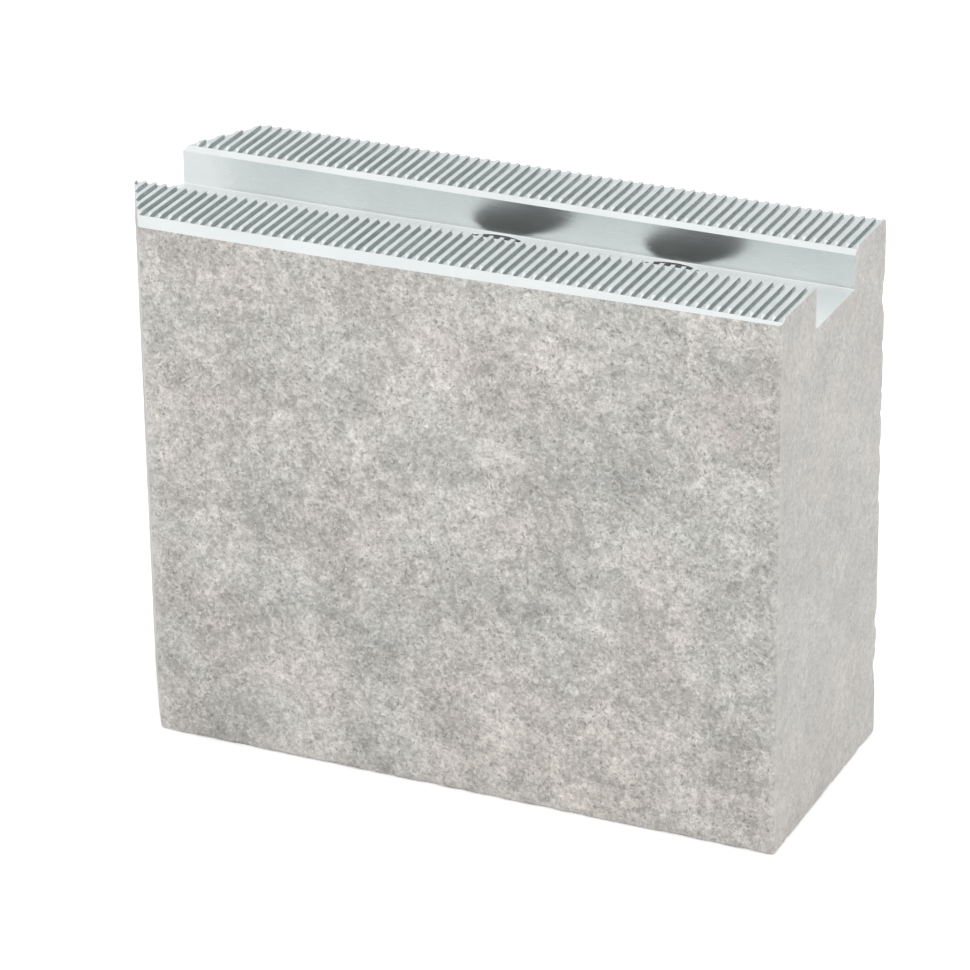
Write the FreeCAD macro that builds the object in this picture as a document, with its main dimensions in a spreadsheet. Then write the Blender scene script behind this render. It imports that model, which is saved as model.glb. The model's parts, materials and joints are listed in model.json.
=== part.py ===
import FreeCAD, Part
import os
import Sketcher

# Pointed, serrated soft jaw for a power chuck: one block of aluminium bar.
# It stands on its work face with the chuck side up. X runs from the nose (-X) to the
# outer end (+X), Y across the jaw, Z from the work face up to the serrated crests.
# The origin is the middle of the footprint, on the work face. Lengths are in
# millimetres and angles in degrees.

SIZES = {
    "jaw_length": 101.6,            # 4 inches, nose to outer end
    "jaw_width": 38.1,              # 1 1/2 inch bar
    "jaw_height": 76.2,             # 3 inches, work face to crests
    "nose_angle": 120.0,            # included angle, so that three jaws close to a disc
    "nose_flat": 1.0,               # flat left on the point
    "upright_radius": 0.6,          # upright corners of the tumbled bar
    "base_radius": 0.5,             # edge round the work face
    "slot_width": 14.0,             # takes the tongue of the T-nut
    "slot_depth": 5.8,
    "slot_bevel_width": 1.3,        # bevel along the +Y edge of the slot
    "slot_bevel_depth": 1.0,
    "slot_break": 0.15,             # the slot's -Y edge is only deburred
    "back_bevel": 1.0,              # bevel along the +Y top edge
    "front_bevel_nose_width": 2.0,  # the -Y top edge has a flatter bevel that
    "front_bevel_nose_depth": 1.45, # narrows from the nose to the outer end
    "front_bevel_outer_width": 1.2,
    "front_bevel_outer_depth": 0.65,
    "nose_bevel": 0.4,              # top edges of the two nose flanks
    "bolt_hole_diameter": 13.5,     # clearance for an M12 cap screw
    "bolt_spacing": 25.0,
    "bolt_inset": 25.0,             # outer end to the nearer bolt
    "head_recess_diameter": 20.0,   # counterbore for the screw's head
    "head_recess_bevel": 0.8,
    "clamped_web": 16.0,            # metal between the screw's head and the slot floor
    "serration_pitch": 1.5,
    "serration_angle": 60.0,
    "serration_land": 0.6,          # flat on each crest
    "serration_root": 0.2,          # flat at the bottom of each groove
    "serration_inset": 0.75,        # outer end to the middle of the first groove
}


def makeSheet(doc):
    sheet = doc.addObject("Spreadsheet::Sheet", "Sizes")
    for row, (alias, value) in enumerate(SIZES.items(), start=1):
        sheet.set(f"A{row}", alias)
        sheet.set(f"B{row}", str(value))
        sheet.setAlias(f"B{row}", alias)
    doc.recompute()


def addSketch(body, name, plane_role):
    sketch = body.newObject("Sketcher::SketchObject", name)
    plane = next(item for item in body.Origin.OriginFeatures if item.Role == plane_role)
    sketch.AttachmentSupport = [(plane, "")]
    sketch.MapMode = "FlatFace"
    return sketch


def drawLoop(sketch, corners):
    # Closed loop of straight lines, fully dimensioned from the sketch's origin.
    # A corner is a pair of expressions, and its two dimensions follow the sheet.
    places = [[sketch.evalExpression(text) for text in corner] for corner in corners]
    points = [FreeCAD.Vector(x, y, 0) for x, y in places]
    count = len(points)
    for start, end in zip(points, points[1:] + points[:1]):
        sketch.addGeometry(Part.LineSegment(start, end))
    for line in range(count):
        sketch.addConstraint(Sketcher.Constraint("Coincident", line, 2, (line + 1) % count, 1))
    for line, (corner, place) in enumerate(zip(corners, places)):
        for kind, text, value in zip(("DistanceX", "DistanceY"), corner, place):
            index = sketch.addConstraint(Sketcher.Constraint(kind, -1, 1, line, 1, value))
            sketch.setExpression(f"Constraints[{index}]", text)


def finished(feature):
    # A cutting feature that points the wrong way shows no error, so its metal is weighed.
    feature.Document.recompute()
    base = feature.BaseFeature
    if base is not None and feature.Shape.Volume >= base.Shape.Volume:
        raise RuntimeError(f"{feature.Name} removes nothing")
    return feature


def edgesWhere(feature, wanted):
    return [f"Edge{number}" for number, edge in enumerate(feature.Shape.Edges, start=1) if wanted(edge)]


def makeBlock(body):
    # Bar cut to length, with one end milled to a point that keeps a narrow flat.
    sketch = addSketch(body, "Footprint", "XY_Plane")
    nose, outer = "-Sizes.jaw_length / 2", "Sizes.jaw_length / 2"
    shoulder = nose + " + (Sizes.jaw_width - Sizes.nose_flat) / 2 / tan(Sizes.nose_angle / 2)"
    front, back = "-Sizes.jaw_width / 2", "Sizes.jaw_width / 2"
    drawLoop(sketch, [
        (nose, "-Sizes.nose_flat / 2"),
        (shoulder, front),
        (outer, front),
        (outer, back),
        (shoulder, back),
        (nose, "Sizes.nose_flat / 2"),
    ])
    block = body.newObject("PartDesign::Pad", "Block")
    block.Profile = sketch
    block.setExpression("Length", "Sizes.jaw_height")
    return finished(block)


def roundRawEdges(body, block):
    # Tumbling has rounded the four upright corners and the edge round the work face.
    nose_end = block.Shape.BoundBox.XMin

    def isUpright(edge):
        box = edge.BoundBox
        return box.ZLength > 1 and box.XLength < 0.01 and box.XMin > nose_end + 1

    def isAtBase(edge):
        return edge.BoundBox.ZMax < 0.01

    uprights = body.newObject("PartDesign::Fillet", "UprightCorners")
    uprights.Base = (block, edgesWhere(block, isUpright))
    uprights.setExpression("Radius", "Sizes.upright_radius")
    finished(uprights)
    base = body.newObject("PartDesign::Fillet", "BaseEdge")
    base.Base = (uprights, edgesWhere(uprights, isAtBase))
    base.setExpression("Radius", "Sizes.base_radius")
    return finished(base)


def cutAlong(body, name, sketch):
    # Pocket that runs the whole length of the jaw, both ways from the middle plane.
    cut = body.newObject("PartDesign::Pocket", name)
    cut.Profile = sketch
    cut.SideType = "Symmetric"
    cut.setExpression("Length", "2 * Sizes.jaw_length")
    return finished(cut)


def cutSlot(body):
    # Tongue slot milled from nose to outer end, bevelled on its +Y edge and deburred on the other.
    sketch = addSketch(body, "SlotSection", "YZ_Plane")
    wall = "Sizes.slot_width / 2"
    top = "Sizes.jaw_height"
    floor = top + " - Sizes.slot_depth"
    drawLoop(sketch, [
        (f"-{wall} - Sizes.slot_break", top),
        ("-" + wall, top + " - Sizes.slot_break"),
        ("-" + wall, floor),
        (wall, floor),
        (wall, top + " - Sizes.slot_bevel_depth"),
        (wall + " + Sizes.slot_bevel_width", top),
    ])
    return cutAlong(body, "TongueSlot", sketch)


def cutBackBevel(body):
    sketch = addSketch(body, "BackBevelSection", "YZ_Plane")
    back, top = "Sizes.jaw_width / 2", "Sizes.jaw_height"
    drawLoop(sketch, [
        (back + " - Sizes.back_bevel", top),
        (back, top + " - Sizes.back_bevel"),
        (back, top),
    ])
    return cutAlong(body, "BackBevel", sketch)


def cutFrontBevel(body):
    # The bevel on this edge narrows steadily from the nose to the outer end.
    sections = []
    front, top = "-Sizes.jaw_width / 2", "Sizes.jaw_height"
    for name, side, bevel in (
        ("FrontBevelNose", "-", "Sizes.front_bevel_nose"),
        ("FrontBevelOuter", "", "Sizes.front_bevel_outer"),
    ):
        sketch = addSketch(body, name, "YZ_Plane")
        sketch.setExpression("AttachmentOffset.Base.z", side + "Sizes.jaw_length / 2")
        drawLoop(sketch, [
            (front, top),
            (front, f"{top} - {bevel}_depth"),
            (f"{front} + {bevel}_width", top),
        ])
        sections.append(sketch)
    body.Document.recompute()
    bevel = body.newObject("PartDesign::SubtractiveLoft", "FrontBevel")
    bevel.Profile = sections[0]
    bevel.Sections = [sections[1]]
    bevel.Ruled = True
    return finished(bevel)


def breakNoseEdges(body, base):
    # Light break on the top edges of both nose flanks, either side of the slot.
    top = base.Shape.BoundBox.ZMax

    def isNoseTop(edge):
        box = edge.BoundBox
        return box.ZMin > top - 0.01 and box.XLength > 1 and box.YLength > 1 and box.XLength < box.YLength

    nose = body.newObject("PartDesign::Chamfer", "NoseEdges")
    nose.Base = (base, edgesWhere(base, isNoseTop))
    nose.setExpression("Size", "Sizes.nose_bevel")
    return finished(nose)


def drillBoltHoles(body):
    # Two counterbored holes: the screws go in from the work face and come out in the slot.
    sketch = addSketch(body, "BoltCentres", "XY_Plane")
    outer_bolt = "Sizes.jaw_length / 2 - Sizes.bolt_inset"
    for circle, place in enumerate((outer_bolt, outer_bolt + " - Sizes.bolt_spacing")):
        centre = FreeCAD.Vector(sketch.evalExpression(place), 0, 0)
        radius = sketch.evalExpression("Sizes.bolt_hole_diameter / 2")
        sketch.addGeometry(Part.Circle(centre, FreeCAD.Vector(0, 0, 1), radius))
        sketch.addConstraint(Sketcher.Constraint("PointOnObject", circle, 3, -1))
        for kind, text, where, value in (
            ("DistanceX", place, (-1, 1, circle, 3), centre.x),
            ("Radius", "Sizes.bolt_hole_diameter / 2", (circle,), radius),
        ):
            index = sketch.addConstraint(Sketcher.Constraint(kind, *where, value))
            sketch.setExpression(f"Constraints[{index}]", text)
    holes = body.newObject("PartDesign::Hole", "BoltHoles")
    holes.Profile = sketch
    body.Document.recompute()
    holes.Reversed = True
    holes.DepthType = "ThroughAll"
    holes.DrillPoint = "Flat"
    holes.HoleCutType = "Counterbore"
    holes.HoleCutCustomValues = True
    holes.setExpression("Diameter", "Sizes.bolt_hole_diameter")
    holes.setExpression("HoleCutDiameter", "Sizes.head_recess_diameter")
    holes.setExpression("HoleCutDepth", "Sizes.jaw_height - Sizes.slot_depth - Sizes.clamped_web")
    return finished(holes)


def bevelHeadRecesses(body, holes):
    def isMouth(edge):
        return isinstance(edge.Curve, Part.Circle) and edge.BoundBox.ZMax < 0.01

    mouths = body.newObject("PartDesign::Chamfer", "RecessMouths")
    mouths.Base = (holes, edgesWhere(holes, isMouth))
    mouths.setExpression("Size", "Sizes.head_recess_bevel")
    return finished(mouths)


def cutSerrations(body):
    # One groove across the jaw at the outer end, repeated at the pitch as far as
    # the place where the serrated bands begin, on the nose flanks beside the slot.
    sketch = addSketch(body, "GrooveSection", "XZ_Plane")
    middle = "Sizes.jaw_length / 2 - Sizes.serration_inset"
    mouth = "(Sizes.serration_pitch - Sizes.serration_land) / 2"
    root = "Sizes.serration_root / 2"
    top = "Sizes.jaw_height"
    flank = f"({mouth} - {root}) / tan(Sizes.serration_angle / 2)"
    drawLoop(sketch, [
        (f"{middle} - {mouth}", top),
        (f"{middle} - {root}", f"{top} - {flank}"),
        (f"{middle} + {root}", f"{top} - {flank}"),
        (f"{middle} + {mouth}", top),
    ])
    groove = body.newObject("PartDesign::Pocket", "Groove")
    groove.Profile = sketch
    groove.SideType = "Symmetric"
    groove.setExpression("Length", "2 * Sizes.jaw_width")
    finished(groove)

    serrations = body.newObject("PartDesign::LinearPattern", "Serrations")
    serrations.Originals = [groove]
    serrations.Direction = (sketch, ["H_Axis"])
    serrations.Reversed = True
    serrations.Mode = "Spacing"
    serrations.setExpression("Offset", "Sizes.serration_pitch")
    half_mouth = "(Sizes.slot_width / 2 + Sizes.slot_break - Sizes.nose_flat / 2)"
    band = f"Sizes.jaw_length - Sizes.serration_inset - {half_mouth} / tan(Sizes.nose_angle / 2)"
    serrations.setExpression("Occurrences", f"floor(({band}) / Sizes.serration_pitch) + 1")
    body.Tip = serrations
    return finished(serrations)


def makeJaw(doc):
    body = doc.addObject("PartDesign::Body", "SoftJaw")
    body.Label = "soft_jaw"
    doc.recompute()
    block = makeBlock(body)
    roundRawEdges(body, block)
    cutSlot(body)
    cutBackBevel(body)
    bevelled = cutFrontBevel(body)
    breakNoseEdges(body, bevelled)
    holes = drillBoltHoles(body)
    bevelHeadRecesses(body, holes)
    cutSerrations(body)
    doc.recompute()
    return body


doc = FreeCAD.newDocument("SoftJaw")
makeSheet(doc)
jaw = makeJaw(doc)

failed = [item.Name for item in doc.Objects if "Invalid" in item.State or "Error" in item.State]
if failed:
    raise RuntimeError("not computed: " + ", ".join(failed))
if jaw.Shape.isNull() or not jaw.Shape.isValid() or len(jaw.Shape.Solids) != 1:
    raise RuntimeError("the jaw is not one valid solid")

os.makedirs("parts", exist_ok=True)
jaw.Shape.exportStep(f"parts/{jaw.Label}.step")
box = jaw.Shape.BoundBox
grooves = doc.getObject("Serrations").Occurrences
print(f"soft jaw {box.XLength:.2f} x {box.YLength:.2f} x {box.ZLength:.2f} mm, "
      f"{jaw.Shape.Volume / 1000:.1f} cm3, {grooves} grooves, {len(jaw.Shape.Faces)} faces")
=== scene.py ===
import json
import math
import bmesh
import bpy
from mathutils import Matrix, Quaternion, Vector, noise


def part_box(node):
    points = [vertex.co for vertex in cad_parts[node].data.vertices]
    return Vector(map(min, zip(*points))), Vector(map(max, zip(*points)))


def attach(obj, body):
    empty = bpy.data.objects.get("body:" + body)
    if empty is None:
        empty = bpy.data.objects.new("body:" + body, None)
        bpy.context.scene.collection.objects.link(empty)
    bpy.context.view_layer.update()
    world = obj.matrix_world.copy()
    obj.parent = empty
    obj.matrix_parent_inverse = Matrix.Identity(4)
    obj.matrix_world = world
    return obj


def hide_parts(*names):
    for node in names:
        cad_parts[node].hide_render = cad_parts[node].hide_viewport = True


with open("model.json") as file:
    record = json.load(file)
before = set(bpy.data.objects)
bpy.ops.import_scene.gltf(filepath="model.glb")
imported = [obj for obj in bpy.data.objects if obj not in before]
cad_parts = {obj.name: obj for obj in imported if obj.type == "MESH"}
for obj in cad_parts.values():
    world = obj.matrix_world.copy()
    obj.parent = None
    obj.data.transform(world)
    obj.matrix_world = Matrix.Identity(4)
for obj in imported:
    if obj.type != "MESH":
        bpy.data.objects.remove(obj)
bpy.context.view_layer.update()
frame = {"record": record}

# Soft jaw: a tumbled aluminium block with a milled, serrated chuck side.
# Sizes are in millimetres in the dictionaries and become metres in the mesh.
mm = 0.001
low, high = (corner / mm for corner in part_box("soft_jaw"))
mounts = {mount["name"]: mount for mount in frame["record"]["mounts"]}
print("frame loaded, jaw", [round(b - a, 2) for a, b in zip(low, high)])


class Value:
    # one output socket, so that a sum of sockets is written as a sum
    def __init__(self, graph, socket):
        self.graph = graph
        self.socket = socket

    def __add__(self, other):
        return self.graph.sum("ADD", self, other)

    def __radd__(self, other):
        return self.graph.sum("ADD", other, self)

    def __sub__(self, other):
        return self.graph.sum("SUBTRACT", self, other)

    def __rsub__(self, other):
        return self.graph.sum("SUBTRACT", other, self)

    def __mul__(self, other):
        return self.graph.sum("MULTIPLY", self, other)

    def __rmul__(self, other):
        return self.graph.sum("MULTIPLY", other, self)

    def __truediv__(self, other):
        return self.graph.sum("DIVIDE", self, other)

    def __gt__(self, other):
        return self.graph.sum("GREATER_THAN", self, other)


def smaller(a, b):
    return a.graph.sum("MINIMUM", a, b)


def larger(a, b):
    return a.graph.sum("MAXIMUM", a, b)


class Graph:
    # one node tree, filled by put: node type, its settings, then the values or links of its inputs
    def __init__(self, tree):
        self.tree = tree
        tree.nodes.clear()

    def put(self, kind, settings=None, sockets=None, out=0):
        node = self.tree.nodes.new(kind)
        for name, setting in (settings or {}).items():
            if name == "stops":
                self.setStops(node.color_ramp, setting)
            else:
                setattr(node, name, setting)
        for name, value in (sockets or {}).items():
            self.feed(node.inputs[name], value)
        return Value(self, node.outputs[out]) if node.outputs else node

    def feed(self, socket, value):
        if isinstance(value, Value):
            self.tree.links.new(value.socket, socket)
        else:
            socket.default_value = value

    def setStops(self, ramp, stops):
        while len(ramp.elements) > 1:
            ramp.elements.remove(ramp.elements[-1])
        for index, (place, shade) in enumerate(stops):
            stop = ramp.elements.new(place) if index else ramp.elements[0]
            stop.position = place
            stop.color = (shade, shade, shade, 1)

    def sum(self, operation, a, b):
        return self.put("ShaderNodeMath", {"operation": operation}, {0: a, 1: b})

    def ramp(self, value, *stops):
        return self.put("ShaderNodeValToRGB", {"stops": stops}, {"Fac": value})

    def noise(self, where, size, detail=2.0, rough=0.5, wander=0.0, out=0):
        # size is the width of one patch in millimetres
        return self.put("ShaderNodeTexNoise", {}, {
            "Vector": where, "Scale": 1 / (size * mm), "Detail": detail,
            "Roughness": rough, "Distortion": wander,
        }, out)

    def bent(self, where, size, reach):
        # coordinates pushed about by a noise, so that straight patterns curl
        push = self.noise(where, size, 1, 0.5, 0, 1)
        return self.put("ShaderNodeVectorMath", {"operation": "MULTIPLY_ADD"},
                        {0: push, 1: [reach * mm] * 3, 2: where})

    def moved(self, where, shift):
        return self.put("ShaderNodeVectorMath", {"operation": "ADD"}, {0: where, 1: [shift * mm] * 3})

    def cellWalls(self, where, size):
        return self.put("ShaderNodeTexVoronoi", {"feature": "DISTANCE_TO_EDGE"}, {
            "Vector": where, "Scale": 1 / (size * mm)})

    def axis(self, where, number):
        return self.put("ShaderNodeSeparateXYZ", {}, {0: where}, number)

    def blend(self, amount, a, b, mode="MIX"):
        return self.put("ShaderNodeMix", {"data_type": "RGBA", "blend_type": mode, "clamp_factor": True},
                        {0: amount, 6: tint(a), 7: tint(b)}, 2)

    def stretched(self, where, stretch):
        return self.put("ShaderNodeMapping", {}, {"Vector": where, "Scale": stretch})

    def bumped(self, strength, depth, height):
        return self.put("ShaderNodeBump", {}, {
            "Strength": strength, "Distance": depth * mm, "Height": height})


def tint(colour):
    return (*colour, 1) if isinstance(colour, tuple) and len(colour) == 3 else colour


def metal(name, build, **fixed):
    # a Principled material: build returns the sockets that vary over the surface
    material = bpy.data.materials.new(name)
    material.use_nodes = True
    graph = Graph(material.node_tree)
    where = graph.put("ShaderNodeTexCoord", {}, {}, 3)
    sockets = {**fixed, **build(graph, where)}
    shader = graph.put("ShaderNodeBsdfPrincipled", {}, sockets)
    graph.put("ShaderNodeOutputMaterial", {}, {"Surface": shader})
    return material


# Tumbled bar: a dull grey-beige skin, blotched, with dark specks and bright flecks in it.
skin = {
    "base": (0.665, 0.635, 0.60),
    "warm": (0.71, 0.665, 0.625),
    "cool": (0.605, 0.60, 0.575),
    "speck": (0.24, 0.235, 0.225),
    "fleck": (0.90, 0.885, 0.85),
    # painted highlight: the colour that the edges are lightened towards
    "worn": (0.74, 0.71, 0.68),
    "sawn": (0.80, 0.77, 0.745),  # painted light: the outer end is coloured lighter than the sides, as if lit more from that side
    "stain": (0.50, 0.39, 0.35),
    "stainPlace": (47.0, -19.05, 64.5),
    "sawnShare": 0.55,            # the shares say how far each colour covers what is under it
    "speckShare": 0.55,
    "fleckShare": 0.6,
    "strokeShare": 0.5,
    "stainShare": 0.55,
    "wornShare": 0.35,
    "cloudSize": 19,
    "patchSize": 6.5,
    "lumpSize": 1.5,
    "grainSize": 0.55,
    "speckSize": 0.55,
    "fleckSize": 0.5,
    "strokeSize": 1.6,
    "bumpDepth": 0.05,
    "metallic": 0.85,
    "rough": 0.62,
    "stainWidth": 7.5,
    "wornWidth": 1.5,             # how far the painted edge highlight and the smoother rubbed edges reach into the faces
    "endDepth": 0.15,             # what lies this near the outer end is painted lighter and has fewer specks
}


def fromEdge(graph, where):
    # on the surface of the bar, the second smallest distance to its faces is the nearest edge's
    x, y, z = (graph.axis(where, number) for number in range(3))
    aside = graph.sum("ABSOLUTE", y, 0.0)
    lean = math.radians(bar["noseAngle"] / 2)
    flank = (x - low.x * mm) * math.sin(lean) - (aside - bar["noseFlat"] / 2 * mm) * math.cos(lean)
    faces = [high.x * mm - x, high.y * mm - aside, flank, x - low.x * mm, z]
    nearest, second = faces[0], faces[0] + 1.0
    for face in faces[1:]:
        second = smaller(second, larger(nearest, face))
        nearest = smaller(nearest, face)
    return second


def scatter(graph, where, size, cover, shift, patch=4.0):
    # small spots, more of them in some patches than in others
    spot = graph.moved(where, shift)
    crowd = graph.ramp(graph.noise(spot, patch, 2), (0.36, 0.0), (0.66, 1.0))
    grains = graph.noise(spot, size, 2, 0.6, 0.4)
    return graph.ramp(grains + crowd * 0.07, (cover, 0.0), (cover + 0.07, 1.0))


def strokes(graph, where, size, width, cover, shift):
    # short curled scratches: cell walls, mostly rubbed out again by a noise
    spot = graph.moved(where, shift)
    wall = graph.cellWalls(graph.bent(spot, size * 0.8, size * 0.9), size)
    line = graph.ramp(wall, (0.0, 1.0), (width, 0.0))
    left = graph.ramp(graph.noise(spot, size * 0.7, 1), (cover, 0.0), (cover + 0.08, 1.0))
    return line * left


def tumbledSkin(graph, where):
    cloud = graph.noise(where, skin["cloudSize"], 3, 0.5)
    patch = graph.noise(graph.moved(where, 40), skin["patchSize"], 4, 0.6, 0.5)
    lump = graph.noise(graph.moved(where, 11), skin["lumpSize"], 4, 0.62, 0.6)
    grain = graph.noise(where, skin["grainSize"], 3, 0.68, 0.6)
    colour = graph.blend(graph.ramp(cloud, (0.40, 0.0), (0.60, 1.0)), skin["cool"], skin["warm"])
    colour = graph.blend(graph.ramp(patch, (0.34, 0.1), (0.66, 0.8)), colour, skin["base"])
    broad = graph.ramp(graph.noise(graph.moved(where, 5), 9, 3, 0.55), (0.34, 0.86), (0.66, 1.12))
    colour = graph.blend(1.0, colour, broad, "MULTIPLY")
    colour = graph.blend(1.0, colour, graph.ramp(lump, (0.3, 0.78), (0.7, 1.2)), "MULTIPLY")
    colour = graph.blend(1.0, colour, graph.ramp(grain, (0.3, 0.74), (0.5, 1.0), (0.7, 1.26)), "MULTIPLY")

    # painted light: the outer end is coloured lighter, standing in for more light from that side; it also
    # gets fewer specks
    atEnd = graph.axis(where, 0) > (high.x - skin["endDepth"]) * mm
    colour = graph.blend(atEnd * skin["sawnShare"], colour, skin["sawn"])

    specks = scatter(graph, where, skin["speckSize"], 0.635, 23) * (1.0 - atEnd * 0.6)
    flecks = scatter(graph, where, skin["fleckSize"], 0.645, 61, 6.0)
    bright = strokes(graph, where, skin["strokeSize"], 0.08, 0.54, 87)
    colour = graph.blend(specks * skin["speckShare"], colour, skin["speck"])
    colour = graph.blend(flecks * skin["fleckShare"], colour, skin["fleck"])
    colour = graph.blend(bright * skin["strokeShare"], colour, skin["fleck"])

    # a brown smear near the top of the outer end, and a painted highlight along the edges, which are also
    # rubbed smoother
    apart = graph.put("ShaderNodeVectorMath", {"operation": "DISTANCE"}, {
        0: graph.bent(where, 5, 7), 1: [a * mm for a in skin["stainPlace"]]}, 1)
    smear = graph.ramp(apart / (skin["stainWidth"] * mm), (0.25, 1.0), (1.0, 0.0))
    smear = smear * graph.ramp(lump, (0.42, 0.0), (0.62, 1.0))
    colour = graph.blend(smear * skin["stainShare"], colour, skin["stain"])
    # painted highlight: edges coloured lighter, standing in for light caught on the rounded edges; the
    # same mask lowers their roughness as real rubbing
    edge = graph.ramp(fromEdge(graph, where) / (skin["wornWidth"] * mm), (0.3, 1.0), (1.0, 0.0))
    rubbedAndHighlit = edge * graph.ramp(graph.noise(graph.moved(where, 70), 1.6, 3, 0.6), (0.36, 0.0), (0.6, 1.0))
    colour = graph.blend(rubbedAndHighlit * skin["wornShare"], colour, skin["worn"])

    height = grain * 0.5 + lump * 0.6 - specks * 0.4 - bright * 0.3
    rough = skin["rough"] - 0.15 * rubbedAndHighlit
    normal = graph.bumped(0.5, skin["bumpDepth"], height)
    return {"Base Color": colour, "Roughness": rough, "Normal": normal}


# Milled slot and bevels: bright, with fine feed lines along the jaw.
milled = {
    "bright": (0.90, 0.925, 0.92),
    "dull": (0.84, 0.865, 0.865),
    "rough": 0.22,
    "lineWidth": 0.12,
    "cloudSize": 9,
    "bumpDepth": 0.01,
}


def milledFace(graph, where):
    lines = graph.noise(graph.stretched(where, (0.03, 1, 1)), milled["lineWidth"], 2, 0.6)
    cloud = graph.noise(where, milled["cloudSize"], 3, 0.6)
    colour = graph.blend(graph.ramp(cloud, (0.3, 0.0), (0.7, 1.0)), milled["dull"], milled["bright"])
    rough = milled["rough"] + 0.08 * lines
    normal = graph.bumped(0.15, milled["bumpDepth"], lines)
    return {"Base Color": colour, "Roughness": rough, "Normal": normal}


# Crest lands: the face-milled top, a shade duller than the slot.
crest = {
    "bright": (0.80, 0.83, 0.83),
    "dull": (0.68, 0.715, 0.715),
    "rough": 0.26,
    "scuffSize": 0.5,
    "cloudSize": 7,
    "bumpDepth": 0.01,
}


def crestLand(graph, where):
    cloud = graph.noise(where, crest["cloudSize"], 3, 0.6)
    scuffs = graph.noise(graph.bent(where, 2, 1), crest["scuffSize"], 3, 0.65)
    share = graph.ramp(cloud * 0.5 + scuffs * 0.5, (0.36, 0.0), (0.62, 1.0))
    colour = graph.blend(share, crest["dull"], crest["bright"])
    rough = crest["rough"] + 0.12 * scuffs
    normal = graph.bumped(0.2, crest["bumpDepth"], scuffs)
    return {"Base Color": colour, "Roughness": rough, "Normal": normal}


# Groove flanks: cut by a form tool, with marks across the jaw.
groove = {
    "bright": (0.79, 0.825, 0.82),
    "dull": (0.67, 0.705, 0.70),
    "rough": 0.20,
    "lineWidth": 0.10,
    "cloudSize": 3,
    "bumpDepth": 0.01,
}


def grooveFlank(graph, where):
    lines = graph.noise(graph.stretched(where, (1, 0.04, 1)), groove["lineWidth"], 2, 0.6)
    cloud = graph.noise(graph.moved(where, 31), groove["cloudSize"], 3, 0.6)
    share = graph.ramp(lines * 0.5 + cloud * 0.5, (0.35, 0.0), (0.65, 1.0))
    colour = graph.blend(share, groove["dull"], groove["bright"])
    rough = groove["rough"] + 0.08 * lines
    normal = graph.bumped(0.2, groove["bumpDepth"], lines)
    return {"Base Color": colour, "Roughness": rough, "Normal": normal}


# Bolt holes: rings left by the boring tool.
bored = {
    "bright": (0.96, 0.97, 0.96),
    "dull": (0.86, 0.875, 0.87),
    "rough": 0.3,
    "ringWidth": 0.15,
    "bumpDepth": 0.02,
}


def boredWall(graph, where):
    rings = graph.noise(graph.stretched(where, (0.02, 0.02, 1)), bored["ringWidth"], 2, 0.6)
    colour = graph.blend(graph.ramp(rings, (0.3, 0.0), (0.7, 1.0)), bored["dull"], bored["bright"])
    rough = bored["rough"] + 0.1 * rings
    normal = graph.bumped(0.25, bored["bumpDepth"], rings)
    return {"Base Color": colour, "Roughness": rough, "Normal": normal}


def newPiece(name, form, finish=None):
    mesh = bpy.data.meshes.new(name)
    form.to_mesh(mesh)
    form.free()
    for key in [finish] if finish else slotOrder:
        mesh.materials.append(finishes[key])
    piece = bpy.data.objects.new(name, mesh)
    bpy.context.scene.collection.objects.link(piece)
    return piece


def plainMesh(piece):
    # what the modifiers make of the piece becomes its mesh
    graph = bpy.context.evaluated_depsgraph_get()
    mesh = bpy.data.meshes.new_from_object(piece.evaluated_get(graph))
    piece.modifiers.clear()
    piece.data = mesh


def hull(rings, twisted=False):
    # rings of equal length joined in order and closed at both ends; twisted sides become triangles
    form = bmesh.new()
    rows = [[form.verts.new(Vector(point) * mm) for point in ring] for ring in rings]
    for below, above in zip(rows, rows[1:]):
        for i in range(len(below)):
            j = (i + 1) % len(below)
            form.faces.new((below[i], below[j], above[j], above[i]))
    form.faces.new(reversed(rows[0]))
    form.faces.new(rows[-1])
    if twisted:
        bmesh.ops.triangulate(form, faces=form.faces)
    bmesh.ops.recalc_face_normals(form, faces=form.faces)
    return form


# The bar: plan outline walked round once, its corners rounded by the tumbling.
bar = {
    "noseAngle": 120.0,
    "noseFlat": 1.0,
    "cornerRadius": 0.6,
    "baseRadius": 0.5,
    "cornerSteps": 6,
    "baseSteps": 6,
    "step": 0.85,             # spacing of the wall's mesh
    "dimpleSize": 1.5,
    "dimpleDepth": 0.10,
    "dimpleFrom": 0.28,       # noise above this level makes a dimple
    "nickSize": 2.0,
    "nickDepth": 0.42,
    "nickFrom": 0.05,
    "nickReach": 1.6,         # how far from an edge the nicks spread
    "nickShift": (7, 3, 1),
    "sharpAngle": 17.0,       # faces that meet at more than this keep a crisp edge
}


def outline():
    # the six plan corners, anticlockwise from the nose
    shoulder = low.x + (high.y - bar["noseFlat"] / 2) / math.tan(math.radians(bar["noseAngle"] / 2))
    flat = bar["noseFlat"] / 2
    return [
        Vector((low.x, flat)), Vector((low.x, -flat)), Vector((shoulder, low.y)),
        Vector((high.x, low.y)), Vector((high.x, high.y)), Vector((shoulder, high.y)),
    ]


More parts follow.
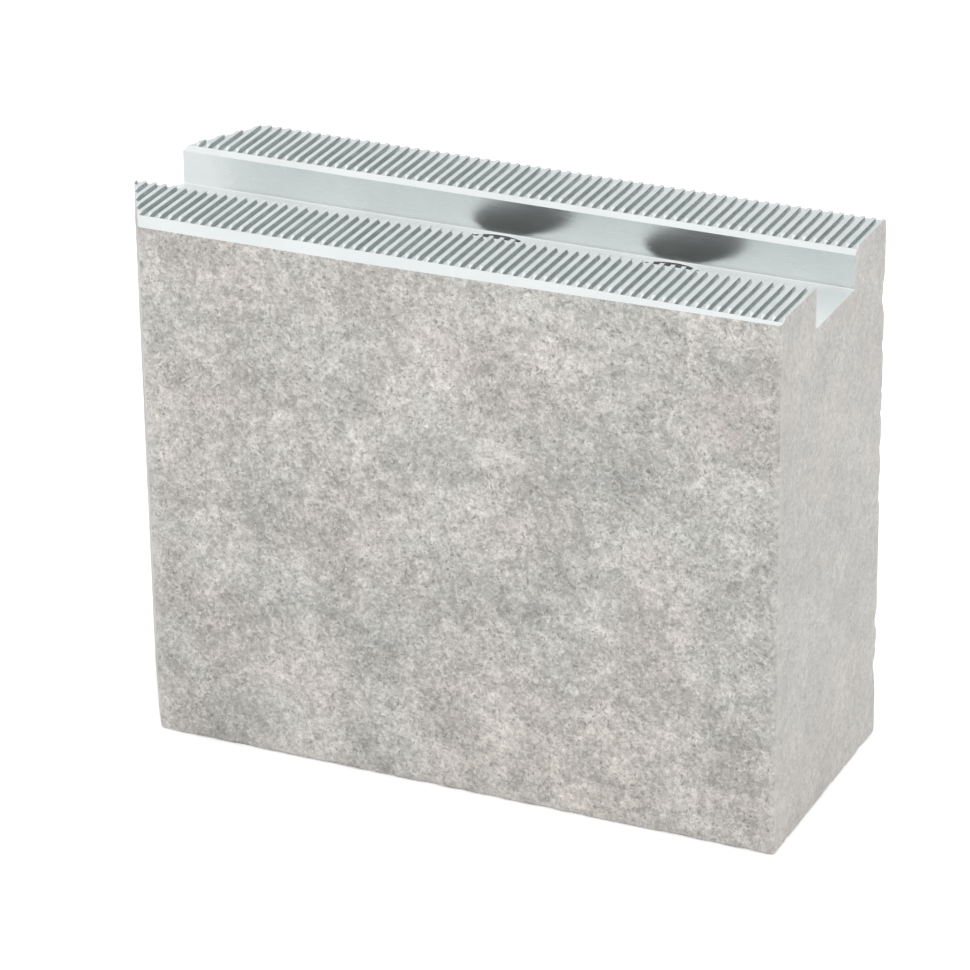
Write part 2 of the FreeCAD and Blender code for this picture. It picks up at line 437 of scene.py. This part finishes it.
def walk():
    # points round the bar with their outward normals, and how far each is from a corner
    corners = outline()
    radius = bar["cornerRadius"]
    steps = []
    count = len(corners)
    for i, corner in enumerate(corners):
        before = (corner - corners[i - 1]).normalized()
        after = (corners[(i + 1) % count] - corner).normalized()
        normalA = Vector((before.y, -before.x))
        normalB = Vector((after.y, -after.x))
        turn = normalA.angle(normalB)
        centre = corner - (normalA + normalB).normalized() * radius / math.cos(turn / 2)
        for k in range(bar["cornerSteps"] + 1):
            normal = (normalA * math.sin(turn * (1 - k / bar["cornerSteps"]))
                      + normalB * math.sin(turn * k / bar["cornerSteps"])).normalized()
            steps.append((centre + normal * radius, normal, 0.0))
        following = corners[(i + 1) % count]
        last = (following - corners[(i + 2) % count]).normalized()
        turnNext = normalB.angle(Vector((-last.y, last.x)))
        start = centre + normalB * radius
        length = (following - start).dot(after) - radius * math.tan(turnNext / 2)
        pieces = max(1, round(length / bar["step"]))
        for k in range(1, pieces):
            along = length * k / pieces
            steps.append((start + after * along, normalB, min(along, length - along)))
    return steps


def dent(point, edgeNear):
    # how deep the surface is knocked in at a point, in millimetres
    dimple = max(0.0, noise.noise(point / bar["dimpleSize"]) - bar["dimpleFrom"]) * bar["dimpleDepth"]
    nick = max(0.0, noise.noise(point / bar["nickSize"] + Vector(bar["nickShift"])) - bar["nickFrom"])
    return dimple + nick * bar["nickDepth"] * edgeNear ** 2


def makeBar():
    # rings from the foot upwards: each level has its inset, for the rounded foot, and its height
    around = walk()
    radius = bar["baseRadius"]
    angles = [math.pi / 2 * (1 - k / bar["baseSteps"]) for k in range(bar["baseSteps"] + 1)]
    levels = [(radius * (1 - math.cos(a)), radius * (1 - math.sin(a))) for a in angles]
    rise = high.z - radius
    rows = round(rise / bar["step"])
    levels += [(0.0, radius + rise * k / rows) for k in range(1, rows + 1)]
    rings = []
    for level, (inset, height) in enumerate(levels):
        lean = min(1.0, height / radius)
        ring = []
        for place, normal, fromCorner in around:
            point = Vector((*(place - normal * inset), height))
            outward = Vector((normal.x * lean, normal.y * lean, -(1 - lean))).normalized()
            reach = bar["nickReach"]
            near = max(0.0, 1 - fromCorner / reach, 1 - height / reach)
            deep = dent(point, near) if level else 0.0
            ring.append(point - outward * deep)
        rings.append(ring)
    return newPiece("jawBar", hull(rings))


# Everything milled or drilled into the bar before the serrations.
milling = {
    "slotWidth": 14.0,
    "slotDepth": 5.8,
    "slotBevelWidth": 1.3,    # +Y edge of the slot
    "slotBevelDepth": 1.0,
    "slotBreak": 0.15,        # -Y edge of the slot
    "slotFootRadius": 0.2,
    "backBevel": (1.0, 1.0),  # width across the top, depth down the side
    "frontBevelNose": (2.0, 1.45),
    "frontBevelOuter": (1.2, 0.65),
    "noseBevel": 0.4,
    "holeBevel": 0.1,
    "recessBevel": 0.8,
    "footSteps": 4,
    "holeSides": 96,
    "over": 3.0,              # how far the cutters overshoot
    "holeOver": 1.0,          # how far a hole's cutter stands up into the slot
}


def slotCutter():
    half, floor = milling["slotWidth"] / 2, high.z - milling["slotDepth"]
    foot = milling["slotFootRadius"]
    angles = [math.pi / 2 * k / milling["footSteps"] for k in range(milling["footSteps"] + 1)]
    corner = [(half - foot + foot * math.cos(a), floor + foot - foot * math.sin(a)) for a in angles]
    section = []
    for side, wide, deep in ((1, milling["slotBevelWidth"], milling["slotBevelDepth"]),
                             (-1, milling["slotBreak"], milling["slotBreak"])):
        edge = [(half + 2 * wide, high.z + deep), (half, high.z - deep)] + corner
        section += [(side * y, z) for y, z in edge[::side]]
    ends = (low.x - milling["over"], high.x + milling["over"])
    return newPiece("slotCutter", hull([[(x, y, z) for y, z in section] for x in ends]), "milled")


def bevelCutter(name, side, first, last):
    # wedge along one top edge; first and last are the bevel's width and depth at the two ends
    over = milling["over"]
    rings = []
    for x in (low.x - over, high.x + over):
        share = (x - low.x) / (high.x - low.x)
        wide, deep = (a + (b - a) * share for a, b in zip(first, last))
        edge, top, rise = high.y * side, high.z, over * deep / wide
        rings.append([
            (x, edge + side * over, top - deep - rise),
            (x, edge - side * (wide + over), top + rise),
            (x, edge + side * over, top + rise),
        ])
    return newPiece(name, hull(rings, first != last), "milled")


def noseCutter(name, side):
    # small break along the top of one nose flank
    corners = outline()
    start, end = (corners[1], corners[2]) if side < 0 else (corners[0], corners[5])
    along = (end - start).normalized()
    outward = Vector((along.y, -along.x)) * (1 if side < 0 else -1)
    small, over = milling["noseBevel"], milling["over"]
    rings = []
    for place in (start - along * over, end + along * over):
        ring = []
        for out, up in ((over, -small - over), (-small - over, over), (over, over)):
            ring.append((*(place + outward * out), high.z + up))
        rings.append(ring)
    return newPiece(name, hull(rings), "milled")


def boltCutter(name, screw, recess):
    # one lathe shape: counterbore from the work face, then the clearance hole
    centre = Vector(mounts[screw]["pos_m"]) / mm
    bore, head = mounts[screw]["dims"]["r_mm"], mounts[recess]["dims"]["r_mm"]
    floor = high.z - milling["slotDepth"]
    seat = floor - mounts[screw]["dims"]["length_mm"]
    edge, mouth, over = milling["holeBevel"], milling["recessBevel"], milling["over"]
    profile = [
        (head + mouth + over, -over), (head, mouth), (head, seat), (bore, seat),
        (bore, floor - edge), (bore + edge, floor), (bore + edge, floor + milling["holeOver"]),
    ]
    turns = [2 * math.pi * k / milling["holeSides"] for k in range(milling["holeSides"])]
    rings = []
    for radius, height in profile:
        rings.append([(centre.x + radius * math.cos(a), centre.y + radius * math.sin(a), height)
                      for a in turns])
    return newPiece(name, hull(rings), "bored")


def machine(piece, cutters):
    for cutter in cutters:
        cut = piece.modifiers.new(cutter.name, "BOOLEAN")
        cut.operation = "DIFFERENCE"
        cut.solver = "MANIFOLD"
        cut.material_mode = "TRANSFER"
        cut.object = cutter
    plainMesh(piece)
    for cutter in cutters:
        bpy.data.objects.remove(cutter)


# The serrations: one groove bar repeated along the jaw and cut out of it.
serrations = {
    "pitch": 1.5,
    "angle": 60.0,
    "land": 0.6,
    "rootWidth": 0.2,
    "inset": 0.75,            # outer end to the middle of the first groove
    "over": 0.4,              # how far a groove bar stands above the crests
    "landMargin": 0.1,        # how far below the crests a face still counts as land
    "landLevel": 0.99,        # and how level it has to be, 1 being flat
}


def at(graph, x=0.0, y=0.0, z=0.0):
    return graph.put("ShaderNodeCombineXYZ", {}, {"X": x, "Y": y, "Z": z})


def serrationTree():
    # groove bars in a row, cut out of the bar that comes in
    tree = bpy.data.node_groups.new("serrations", "GeometryNodeTree")
    tree.is_modifier = True
    lengths = ["Pitch", "First groove", "Crest height", "Groove depth", "Root width", "Mouth width",
               "Overshoot", "Cut length", "Land margin"]
    inputs = {"Bar": "Geometry", "Groove count": "Int", **{name: "Float" for name in lengths}}
    for name, kind in inputs.items():
        tree.interface.new_socket(name, in_out="INPUT", socket_type="NodeSocket" + kind)
    tree.interface.new_socket("Jaw", in_out="OUTPUT", socket_type="NodeSocketGeometry")
    graph = Graph(tree)
    given = {name: graph.put("NodeGroupInput", {}, {}, name) for name in inputs}

    # section of one groove: a trapezium, its root at the bottom, a little taller than the groove
    depth, over = given["Groove depth"], given["Overshoot"]
    grow = (given["Mouth width"] - given["Root width"]) / depth
    wide = given["Root width"] + grow * (depth + over)
    section = graph.put("GeometryNodeCurvePrimitiveQuadrilateral", {"mode": "TRAPEZOID"}, {
        "Height": depth + over, "Bottom Width": given["Root width"], "Top Width": wide, "Offset": 0.0,
    })
    section = graph.put("GeometryNodeTransform", {}, {
        "Geometry": section, "Translation": at(graph, y=(depth + over) * 0.5 - depth),
    })
    half = given["Cut length"] * 0.5
    line = graph.put("GeometryNodeCurvePrimitiveLine", {"mode": "POINTS"}, {
        "Start": at(graph, y=half), "End": at(graph, y=0.0 - half),
    })
    grooveBar = graph.put("GeometryNodeCurveToMesh", {}, {
        "Curve": line, "Profile Curve": section, "Fill Caps": True})
    grooveBar = graph.put("GeometryNodeSetMaterial", {}, {
        "Geometry": grooveBar, "Material": finishes["serrated"]})

    # a row of them, from the outer end towards the nose
    row = graph.put("GeometryNodeMeshLine", {"mode": "OFFSET"}, {
        "Count": given["Groove count"],
        "Start Location": at(graph, x=given["First groove"], z=given["Crest height"]),
        "Offset": at(graph, x=0.0 - given["Pitch"]),
    })
    cutters = graph.put("GeometryNodeInstanceOnPoints", {}, {"Points": row, "Instance": grooveBar})
    cutters = graph.put("GeometryNodeRealizeInstances", {}, {"Geometry": cutters})
    jaw = graph.put("GeometryNodeMeshBoolean", {"operation": "DIFFERENCE", "solver": "MANIFOLD"}, {
        0: given["Bar"], 1: cutters})
    jaw = graph.put("GeometryNodeRealizeInstances", {}, {"Geometry": jaw})

    # the level lands left between the grooves are the face-milled top
    facing = graph.axis(graph.put("GeometryNodeInputNormal"), 2)
    height = graph.axis(graph.put("GeometryNodeInputPosition"), 2)
    land = (facing > serrations["landLevel"]) * (height > given["Crest height"] - given["Land margin"])
    jaw = graph.put("GeometryNodeSetMaterial", {}, {
        "Geometry": jaw, "Selection": land, "Material": finishes["crest"]})
    graph.put("NodeGroupOutput", {}, {0: jaw})
    return tree


def cutSerrations(piece):
    size = serrations
    lean = math.tan(math.radians(size["angle"] / 2))
    mouth = size["pitch"] - size["land"]
    first = high.x - size["inset"]
    halfSlot = milling["slotWidth"] / 2 + milling["slotBreak"]
    bandStart = low.x + (halfSlot - bar["noseFlat"] / 2) / math.tan(math.radians(bar["noseAngle"] / 2))
    sizes = {
        "Groove count": math.floor((first - bandStart) / size["pitch"]) + 1,
        "Pitch": size["pitch"] * mm,
        "First groove": first * mm,
        "Crest height": high.z * mm,
        "Groove depth": (mouth - size["rootWidth"]) / 2 / lean * mm,
        "Root width": size["rootWidth"] * mm,
        "Mouth width": mouth * mm,
        "Overshoot": size["over"] * mm,
        "Cut length": (high.y - low.y + 2 * milling["over"]) * mm,
        "Land margin": size["landMargin"] * mm,
    }
    modifier = piece.modifiers.new("serrations", "NODES")
    modifier.node_group = serrationTree()
    names = {item.name: item.identifier for item in modifier.node_group.interface.items_tree}
    for name, value in sizes.items():
        modifier[names[name]] = value
    plainMesh(piece)


finishes = {
    "tumbled": metal("tumbledSkin", tumbledSkin, Metallic=skin["metallic"]),
    "milled": metal("milledFace", milledFace, Metallic=1.0),
    "crest": metal("crestLand", crestLand, Metallic=1.0),
    "serrated": metal("grooveFlank", grooveFlank, Metallic=1.0),
    "bored": metal("boredWall", boredWall, Metallic=1.0),
}
slotOrder = list(finishes)
print("finishes made:", ", ".join(slotOrder))

jaw = makeBar()
print("bar:", len(jaw.data.polygons), "faces")
machine(jaw, [
    slotCutter(),
    bevelCutter("backBevel", 1, milling["backBevel"], milling["backBevel"]),
    bevelCutter("frontBevel", -1, milling["frontBevelNose"], milling["frontBevelOuter"]),
    noseCutter("noseBevelFront", -1),
    noseCutter("noseBevelBack", 1),
    boltCutter("outerBolt", "screw_bore_outer", "head_recess_outer"),
    boltCutter("innerBolt", "screw_bore_inner", "head_recess_inner"),
])
print("milled and drilled:", len(jaw.data.polygons), "faces")
cutSerrations(jaw)
print("serrated:", len(jaw.data.polygons), "faces")
jaw.name = "soft_jaw_body"
jaw.data.shade_smooth()
jaw.data.set_sharp_from_angle(angle=math.radians(bar["sharpAngle"]))
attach(jaw, "root")
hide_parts("soft_jaw")
print("jaw finished in", [slot.name for slot in jaw.data.materials])


# Pale floor, white surround and the camera. Places and the lens are in millimetres.
studio = {
    "place": (246.8, -533.4, 310.5),
    "aim": (1.0, 0.0, 36.5),
    "lens": 178.0,
    "roll": -0.75,
    "floorShade": 0.92,
    "floorLift": 0.35,        # added for the camera only, so that the floor reads white
    "floorHalf": 3000.0,
    "surround": (0.97, 0.985, 0.99),
    "dim": 0.95,              # how dark the horizon goes
    "dimSide": (0.56, 0.83, 0.0),
    "dimRise": (0.10, 0.30),
    "dimSpread": (0.2, 0.7),
}


def makeFloor():
    form = bmesh.new()
    half = studio["floorHalf"] * mm
    corners = ((-half, -half), (half, -half), (half, half), (-half, half))
    form.faces.new([form.verts.new((x, y, low.z * mm)) for x, y in corners])
    mesh = bpy.data.meshes.new("floor")
    form.to_mesh(mesh)
    form.free()
    material = bpy.data.materials.new("paleFloor")
    material.use_nodes = True
    graph = Graph(material.node_tree)
    shade = studio["floorShade"]
    seen = graph.put("ShaderNodeLightPath", {}, {}, "Is Camera Ray")
    paper = graph.put("ShaderNodeBsdfDiffuse", {}, {"Color": (shade, shade, shade, 1)})
    lift = graph.put("ShaderNodeEmission", {}, {
        "Color": (1, 1, 1, 1), "Strength": seen * studio["floorLift"]})
    both = graph.put("ShaderNodeAddShader", {}, {0: paper, 1: lift})
    graph.put("ShaderNodeOutputMaterial", {}, {"Surface": both})
    mesh.materials.append(material)
    floor = bpy.data.objects.new("floor", mesh)
    bpy.context.scene.collection.objects.link(floor)


def makeWorld():
    # a white surround, dim along the horizon behind the jaw and towards its outer end
    world = bpy.data.worlds.new("studio")
    bpy.context.scene.world = world
    world.use_nodes = True
    graph = Graph(world.node_tree)
    seen = graph.put("ShaderNodeLightPath", {}, {}, "Is Camera Ray")
    facing = graph.put("ShaderNodeTexCoord", {}, {}, "Generated")
    behind = graph.put("ShaderNodeVectorMath", {"operation": "DOT_PRODUCT"}, {
        0: facing, 1: studio["dimSide"]}, 1)
    lowDown = graph.ramp(graph.axis(facing, 2), (studio["dimRise"][0], 1.0), (studio["dimRise"][1], 0.0))
    aside = graph.ramp(behind, (studio["dimSpread"][0], 0.0), (studio["dimSpread"][1], 1.0))
    dim = lowDown * aside * studio["dim"]
    colour = graph.blend(seen, studio["surround"], (1.0, 1.0, 1.0))
    strength = (1 - dim) * (1 - seen) + seen
    backdrop = graph.put("ShaderNodeBackground", {}, {"Color": colour, "Strength": strength})
    graph.put("ShaderNodeOutputWorld", {}, {"Surface": backdrop})


def makeCamera():
    camera = bpy.data.cameras.new("camera")
    camera.lens = studio["lens"]
    camera.sensor_width = 36
    camera.clip_start, camera.clip_end = 0.01, 20
    holder = bpy.data.objects.new("camera", camera)
    bpy.context.scene.collection.objects.link(holder)
    place, aim = Vector(studio["place"]) * mm, Vector(studio["aim"]) * mm
    holder.location = place
    turn = (aim - place).to_track_quat("-Z", "Y") @ Quaternion((0, 0, 1), math.radians(studio["roll"]))
    holder.rotation_mode = "QUATERNION"
    holder.rotation_quaternion = turn
    bpy.context.scene.camera = holder


makeFloor()
makeWorld()
makeCamera()
bpy.context.scene.view_settings.view_transform = "Standard"
print("studio ready")
